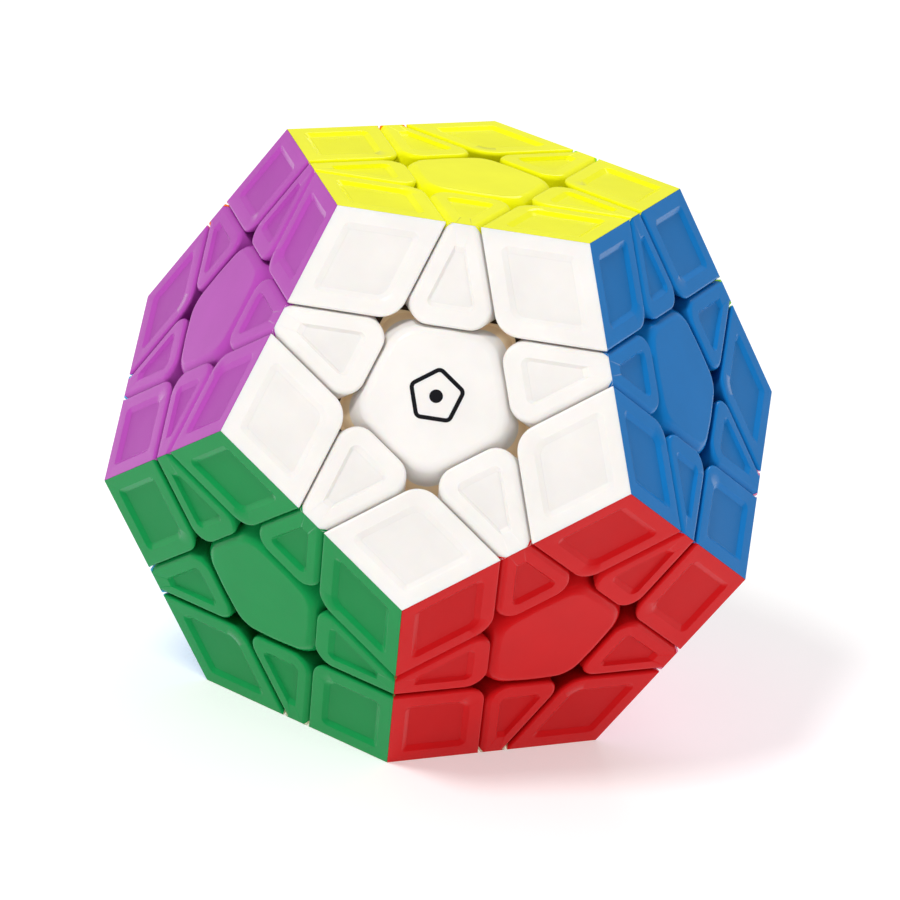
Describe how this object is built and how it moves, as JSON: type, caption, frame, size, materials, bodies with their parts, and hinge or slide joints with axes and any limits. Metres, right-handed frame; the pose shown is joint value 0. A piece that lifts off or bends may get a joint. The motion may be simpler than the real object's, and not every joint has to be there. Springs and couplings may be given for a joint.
{
  "type": "dodecahedron twisty puzzle",
  "caption": "Handheld dodecahedron puzzle: two- and three-colour pieces round a sprung core, each face turning in fifths.",
  "frame": {"origin": "middle of the cream face, which the puzzle stands on", "axes": "+Z through the yellow face opposite, -Y level and towards the white face"},
  "size_m": [0.0786, 0.0826, 0.0668],
  "materials": {
    "yellow_plastic": "moulded, glossy",
    "white_plastic": "moulded, glossy",
    "blue_plastic": "moulded, glossy",
    "lime_plastic": "moulded, glossy",
    "orange_plastic": "moulded, glossy",
    "purple_plastic": "moulded, glossy",
    "red_plastic": "moulded, glossy",
    "pink_plastic": "moulded, glossy",
    "gray_plastic": "moulded, glossy",
    "lightblue_plastic": "moulded, glossy",
    "green_plastic": "moulded, glossy",
    "cream_plastic": "moulded, glossy",
    "inner_plastic": "moulded, satin",
    "steel": "plated"
  },
  "bodies": {
    "core": {"core": "inner_plastic", "screws": "steel", "springs": "steel", "washers": "steel", "fixed_centres": "cream_plastic", "fixed_edges": "cream_plastic", "fixed_corners": "cream_plastic"},
    "centre_yellow": {"centre_yellow": "yellow_plastic"},
    "centre_white": {"centre_white": "white_plastic"},
    "centre_blue": {"centre_blue": "blue_plastic"},
    "centre_lime": {"centre_lime": "lime_plastic", "edge_lime_gray": "lime_plastic"},
    "centre_orange": {"centre_orange": "orange_plastic", "edges_orange_gray_lightblue": "orange_plastic", "corner_orange_gray_lightblue": "orange_plastic"},
    "centre_purple": {"centre_purple": "purple_plastic", "edge_purple_lightblue": "purple_plastic"},
    "centre_red": {"centre_red": "red_plastic", "edge_red_cream": "red_plastic"},
    "centre_pink": {"centre_pink": "pink_plastic", "edges_pink_gray_cream": "pink_plastic", "corner_pink_gray_cream": "pink_plastic"},
    "centre_green": {"centre_green": "green_plastic", "edges_green_lightblue_cream": "green_plastic", "corner_lightblue_green_cream": "lightblue_plastic"},
    "edge_yellow_white": {"edge_yellow_white": "yellow_plastic"},
    "edge_yellow_blue": {"edge_yellow_blue": "yellow_plastic"},
    "edge_yellow_lime": {"edge_yellow_lime": "yellow_plastic"},
    "edge_yellow_orange": {"edge_yellow_orange": "yellow_plastic"},
    "edge_yellow_purple": {"edge_yellow_purple": "yellow_plastic"},
    "edge_white_blue": {"edge_white_blue": "white_plastic"},
    "edge_white_purple": {"edge_white_purple": "white_plastic"},
    "edge_white_red": {"edge_white_red": "white_plastic"},
    "edge_white_green": {"edge_white_green": "white_plastic"},
    "edge_blue_lime": {"edge_blue_lime": "blue_plastic"},
    "edge_blue_red": {"edge_blue_red": "blue_plastic"},
    "edge_blue_pink": {"edge_blue_pink": "blue_plastic"},
    "edge_lime_orange": {"edge_lime_orange": "lime_plastic", "corner_lime_orange_gray": "lime_plastic"},
    "edge_lime_pink": {"edge_lime_pink": "lime_plastic", "corner_lime_pink_gray": "lime_plastic"},
    "edge_orange_purple": {"edge_orange_purple": "orange_plastic", "corner_orange_purple_lightblue": "orange_plastic"},
    "edge_purple_green": {"edge_purple_green": "purple_plastic", "corner_purple_lightblue_green": "purple_plastic"},
    "edge_red_pink": {"edge_red_pink": "red_plastic", "corner_red_pink_cream": "red_plastic"},
    "edge_red_green": {"edge_red_green": "red_plastic", "corner_red_green_cream": "red_plastic"},
    "corner_yellow_white_blue": {"corner_yellow_white_blue": "yellow_plastic"},
    "corner_yellow_white_purple": {"corner_yellow_white_purple": "yellow_plastic"},
    "corner_yellow_blue_lime": {"corner_yellow_blue_lime": "yellow_plastic"},
    "corner_yellow_lime_orange": {"corner_yellow_lime_orange": "yellow_plastic"},
    "corner_yellow_orange_purple": {"corner_yellow_orange_purple": "yellow_plastic"},
    "corner_white_blue_red": {"corner_white_blue_red": "white_plastic"},
    "corner_white_purple_green": {"corner_white_purple_green": "white_plastic"},
    "corner_white_red_green": {"corner_white_red_green": "white_plastic"},
    "corner_blue_lime_pink": {"corner_blue_lime_pink": "blue_plastic"},
    "corner_blue_red_pink": {"corner_blue_red_pink": "blue_plastic"}
  },
  "joints": [
    {"name": "turn_yellow", "type": "hinge", "parent": "core", "child": "centre_yellow", "pos_m": [0, 0, 0.03341], "axis": [0, 0, 1], "continuous": true},
    {"name": "turn_white", "type": "hinge", "parent": "core", "child": "centre_white", "pos_m": [0, 0, 0.03341], "axis": [0, -0.8944, 0.4472], "range_deg": [-360, 360]},
    {"name": "turn_blue", "type": "hinge", "parent": "core", "child": "centre_blue", "pos_m": [0, 0, 0.03341], "axis": [0.8507, -0.2764, 0.4472], "range_deg": [-360, 360]},
    {"name": "turn_lime", "type": "hinge", "parent": "core", "child": "centre_lime", "pos_m": [0, 0, 0.03341], "axis": [0.5257, 0.7236, 0.4472], "range_deg": [-360, 360]},
    {"name": "turn_orange", "type": "hinge", "parent": "core", "child": "centre_orange", "pos_m": [0, 0, 0.03341], "axis": [-0.5257, 0.7236, 0.4472], "range_deg": [-360, 360]},
    {"name": "turn_purple", "type": "hinge", "parent": "core", "child": "centre_purple", "pos_m": [0, 0, 0.03341], "axis": [-0.8507, -0.2764, 0.4472], "range_deg": [-360, 360]},
    {"name": "turn_red", "type": "hinge", "parent": "core", "child": "centre_red", "pos_m": [0, 0, 0.03341], "axis": [0.5257, -0.7236, -0.4472], "range_deg": [-360, 360]},
    {"name": "turn_pink", "type": "hinge", "parent": "core", "child": "centre_pink", "pos_m": [0, 0, 0.03341], "axis": [0.8507, 0.2764, -0.4472], "continuous": true},
    {"name": "turn_green", "type": "hinge", "parent": "core", "child": "centre_green", "pos_m": [0, 0, 0.03341], "axis": [-0.5257, -0.7236, -0.4472], "continuous": true},
    {"name": "follow_yellow_white", "type": "hinge", "parent": "centre_yellow", "child": "edge_yellow_white", "pos_m": [0, 0, 0.03341], "axis": [0, -0.8944, 0.4472], "range_deg": [-360, 360]},
    {"name": "follow_yellow_blue", "type": "hinge", "parent": "centre_yellow", "child": "edge_yellow_blue", "pos_m": [0, 0, 0.03341], "axis": [0.8507, -0.2764, 0.4472], "range_deg": [-360, 360]},
    {"name": "follow_yellow_lime", "type": "hinge", "parent": "centre_yellow", "child": "edge_yellow_lime", "pos_m": [0, 0, 0.03341], "axis": [0.5257, 0.7236, 0.4472], "range_deg": [-360, 360]},
    {"name": "follow_yellow_orange", "type": "hinge", "parent": "centre_yellow", "child": "edge_yellow_orange", "pos_m": [0, 0, 0.03341], "axis": [-0.5257, 0.7236, 0.4472], "range_deg": [-360, 360]},
    {"name": "follow_yellow_purple", "type": "hinge", "parent": "centre_yellow", "child": "edge_yellow_purple", "pos_m": [0, 0, 0.03341], "axis": [-0.8507, -0.2764, 0.4472], "range_deg": [-360, 360]},
    {"name": "follow_white_blue", "type": "hinge", "parent": "centre_white", "child": "edge_white_blue", "pos_m": [0, 0, 0.03341], "axis": [0.8507, -0.2764, 0.4472], "range_deg": [-360, 360]},
    {"name": "follow_white_purple", "type": "hinge", "parent": "centre_white", "child": "edge_white_purple", "pos_m": [0, 0, 0.03341], "axis": [-0.8507, -0.2764, 0.4472], "range_deg": [-360, 360]},
    {"name": "follow_white_red", "type": "hinge", "parent": "centre_white", "child": "edge_white_red", "pos_m": [0, 0, 0.03341], "axis": [0.5257, -0.7236, -0.4472], "range_deg": [-360, 360]},
    {"name": "follow_white_green", "type": "hinge", "parent": "centre_white", "child": "edge_white_green", "pos_m": [0, 0, 0.03341], "axis": [-0.5257, -0.7236, -0.4472], "continuous": true},
    {"name": "follow_blue_lime", "type": "hinge", "parent": "centre_blue", "child": "edge_blue_lime", "pos_m": [0, 0, 0.03341], "axis": [0.5257, 0.7236, 0.4472], "range_deg": [-360, 360]},
    {"name": "follow_blue_red", "type": "hinge", "parent": "centre_blue", "child": "edge_blue_red", "pos_m": [0, 0, 0.03341], "axis": [0.5257, -0.7236, -0.4472], "range_deg": [-360, 360]},
    {"name": "follow_blue_pink", "type": "hinge", "parent": "centre_blue", "child": "edge_blue_pink", "pos_m": [0, 0, 0.03341], "axis": [0.8507, 0.2764, -0.4472], "continuous": true},
    {"name": "follow_lime_orange", "type": "hinge", "parent": "centre_lime", "child": "edge_lime_orange", "pos_m": [0, 0, 0.03341], "axis": [-0.5257, 0.7236, 0.4472], "range_deg": [-360, 360]},
    {"name": "follow_lime_pink", "type": "hinge", "parent": "centre_lime", "child": "edge_lime_pink", "pos_m": [0, 0, 0.03341], "axis": [0.8507, 0.2764, -0.4472], "continuous": true},
    {"name": "follow_orange_purple", "type": "hinge", "parent": "centre_orange", "child": "edge_orange_purple", "pos_m": [0, 0, 0.03341], "axis": [-0.8507, -0.2764, 0.4472], "range_deg": [-360, 360]},
    {"name": "follow_purple_green", "type": "hinge", "parent": "centre_purple", "child": "edge_purple_green", "pos_m": [0, 0, 0.03341], "axis": [-0.5257, -0.7236, -0.4472], "continuous": true},
    {"name": "follow_red_pink", "type": "hinge", "parent": "centre_red", "child": "edge_red_pink", "pos_m": [0, 0, 0.03341], "axis": [0.8507, 0.2764, -0.4472], "continuous": true},
    {"name": "follow_red_green", "type": "hinge", "parent": "centre_red", "child": "edge_red_green", "pos_m": [0, 0, 0.03341], "axis": [-0.5257, -0.7236, -0.4472], "continuous": true},
    {"name": "follow_yellow_white_blue", "type": "hinge", "parent": "edge_yellow_white", "child": "corner_yellow_white_blue", "pos_m": [0, 0, 0.03341], "axis": [0.8507, -0.2764, 0.4472], "range_deg": [-360, 360]},
    {"name": "follow_yellow_white_purple", "type": "hinge", "parent": "edge_yellow_white", "child": "corner_yellow_white_purple", "pos_m": [0, 0, 0.03341], "axis": [-0.8507, -0.2764, 0.4472], "range_deg": [-360, 360]},
    {"name": "follow_yellow_blue_lime", "type": "hinge", "parent": "edge_yellow_blue", "child": "corner_yellow_blue_lime", "pos_m": [0, 0, 0.03341], "axis": [0.5257, 0.7236, 0.4472], "range_deg": [-360, 360]},
    {"name": "follow_yellow_lime_orange", "type": "hinge", "parent": "edge_yellow_lime", "child": "corner_yellow_lime_orange", "pos_m": [0, 0, 0.03341], "axis": [-0.5257, 0.7236, 0.4472], "range_deg": [-360, 360]},
    {"name": "follow_yellow_orange_purple", "type": "hinge", "parent": "edge_yellow_orange", "child": "corner_yellow_orange_purple", "pos_m": [0, 0, 0.03341], "axis": [-0.8507, -0.2764, 0.4472], "range_deg": [-360, 360]},
    {"name": "follow_white_blue_red", "type": "hinge", "parent": "edge_white_blue", "child": "corner_white_blue_red", "pos_m": [0, 0, 0.03341], "axis": [0.5257, -0.7236, -0.4472], "range_deg": [-360, 360]},
    {"name": "follow_white_purple_green", "type": "hinge", "parent": "edge_white_purple", "child": "corner_white_purple_green", "pos_m": [0, 0, 0.03341], "axis": [-0.5257, -0.7236, -0.4472], "continuous": true},
    {"name": "follow_white_red_green", "type": "hinge", "parent": "edge_white_red", "child": "corner_white_red_green", "pos_m": [0, 0, 0.03341], "axis": [-0.5257, -0.7236, -0.4472], "continuous": true},
    {"name": "follow_blue_lime_pink", "type": "hinge", "parent": "edge_blue_lime", "child": "corner_blue_lime_pink", "pos_m": [0, 0, 0.03341], "axis": [0.8507, 0.2764, -0.4472], "continuous": true},
    {"name": "follow_blue_red_pink", "type": "hinge", "parent": "edge_blue_red", "child": "corner_blue_red_pink", "pos_m": [0, 0, 0.03341], "axis": [0.8507, 0.2764, -0.4472], "continuous": true}
  ],
  "couplings": [
    {"joint": "follow_yellow_white", "follows": "turn_white", "ratio": 1},
    {"joint": "follow_yellow_blue", "follows": "turn_blue", "ratio": 1},
    {"joint": "follow_yellow_lime", "follows": "turn_lime", "ratio": 1},
    {"joint": "follow_yellow_orange", "follows": "turn_orange", "ratio": 1},
    {"joint": "follow_yellow_purple", "follows": "turn_purple", "ratio": 1},
    {"joint": "follow_white_blue", "follows": "turn_blue", "ratio": 1},
    {"joint": "follow_white_purple", "follows": "turn_purple", "ratio": 1},
    {"joint": "follow_white_red", "follows": "turn_red", "ratio": 1},
    {"joint": "follow_white_green", "follows": "turn_green", "ratio": 1},
    {"joint": "follow_blue_lime", "follows": "turn_lime", "ratio": 1},
    {"joint": "follow_blue_red", "follows": "turn_red", "ratio": 1},
    {"joint": "follow_blue_pink", "follows": "turn_pink", "ratio": 1},
    {"joint": "follow_lime_orange", "follows": "turn_orange", "ratio": 1},
    {"joint": "follow_lime_pink", "follows": "turn_pink", "ratio": 1},
    {"joint": "follow_orange_purple", "follows": "turn_purple", "ratio": 1},
    {"joint": "follow_purple_green", "follows": "turn_green", "ratio": 1},
    {"joint": "follow_red_pink", "follows": "turn_pink", "ratio": 1},
    {"joint": "follow_red_green", "follows": "turn_green", "ratio": 1},
    {"joint": "follow_yellow_white_blue", "follows": "turn_blue", "ratio": 1},
    {"joint": "follow_yellow_white_purple", "follows": "turn_purple", "ratio": 1},
    {"joint": "follow_yellow_blue_lime", "follows": "turn_lime", "ratio": 1},
    {"joint": "follow_yellow_lime_orange", "follows": "turn_orange", "ratio": 1},
    {"joint": "follow_yellow_orange_purple", "follows": "turn_purple", "ratio": 1},
    {"joint": "follow_white_blue_red", "follows": "turn_red", "ratio": 1},
    {"joint": "follow_white_purple_green", "follows": "turn_green", "ratio": 1},
    {"joint": "follow_white_red_green", "follows": "turn_green", "ratio": 1},
    {"joint": "follow_blue_lime_pink", "follows": "turn_pink", "ratio": 1},
    {"joint": "follow_blue_red_pink", "follows": "turn_pink", "ratio": 1}
  ]
}
